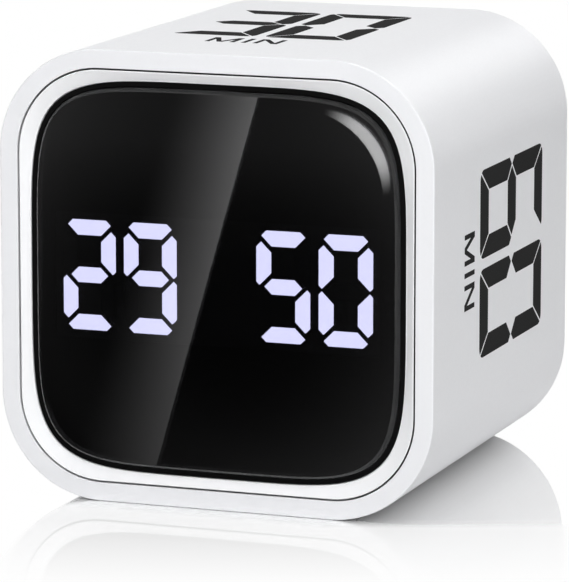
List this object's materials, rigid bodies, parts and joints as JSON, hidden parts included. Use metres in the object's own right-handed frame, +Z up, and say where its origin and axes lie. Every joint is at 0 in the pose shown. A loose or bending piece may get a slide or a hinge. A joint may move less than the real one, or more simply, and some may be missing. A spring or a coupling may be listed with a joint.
{
  "type": "cube timer",
  "caption": "Rounded cube countdown timer: white sleeve, gloss black display window, digit display, rear charging socket, slide switch and push button.",
  "frame": {"origin": "middle of the base that the cube stands on", "axes": "+X to the right of the display, +Y from the display to the back, +Z up"},
  "size_m": [0.06, 0.0594, 0.06],
  "materials": {
    "shell_white": "fine satin moulded plastic",
    "smoked_lens": "polished smoked acrylic",
    "black_tape": "matt black film",
    "black_plastic": "moulded black",
    "lit_segment": "lit diffuser",
    "unlit_segment": "dark diffuser",
    "led_chip": "phosphor resin",
    "board_green": "solder mask",
    "chip_black": "moulded epoxy",
    "screw_steel": "nickel plated",
    "socket_steel": "drawn steel",
    "connector_ivory": "moulded nylon",
    "ribbon_white": "laminated film",
    "control_grey": "fine texture",
    "foam_grey": "closed-cell foam",
    "cell_foil": "laminated foil",
    "tape_amber": "film tape",
    "lead_red": "wire insulation",
    "lead_black": "wire insulation"
  },
  "bodies": {
    "case": {"outer_shell": "shell_white", "front_bezel": "shell_white", "front_lens": "smoked_lens", "lens_tape": "black_tape", "display_reflector": "black_plastic", "lit_segments": "lit_segment", "unlit_segments": "unlit_segment", "segment_leds": "led_chip", "display_board": "board_green", "display_driver": "chip_black", "display_screws": "screw_steel", "display_ribbon_socket": "connector_ivory", "display_ribbon": "ribbon_white", "main_ribbon_socket": "connector_ivory", "rear_cover": "shell_white", "rear_screws": "screw_steel", "main_board": "board_green", "main_board_screws": "screw_steel", "controller_chip": "chip_black", "gravity_sensor": "chip_black", "charger_chip": "chip_black", "clock_crystal": "screw_steel", "usb_shell": "socket_steel", "usb_tongue": "black_plastic", "slide_switch_body": "socket_steel", "tact_switch_body": "black_plastic", "buzzer": "black_plastic", "buzzer_seal": "foam_grey", "vibration_motor": "socket_steel", "battery_cell": "cell_foil", "battery_tape": "tape_amber", "battery_socket": "connector_ivory", "battery_plug": "connector_ivory", "battery_lead_red": "lead_red", "battery_lead_black": "lead_black"},
    "mode_slider": {"mode_knob": "control_grey", "slide_switch_lever": "black_plastic"},
    "button": {"set_button": "control_grey", "tact_switch_plunger": "black_plastic"}
  },
  "joints": [
    {"name": "mode_slide", "type": "slide", "parent": "case", "child": "mode_slider", "axis": [1, 0, 0], "range_m": [-0.0015, 0.0015]},
    {"name": "button_press", "type": "slide", "parent": "case", "child": "button", "axis": [0, -1, 0], "range_m": [0, 0.00035], "stiffness_N_per_m": 1500}
  ]
}
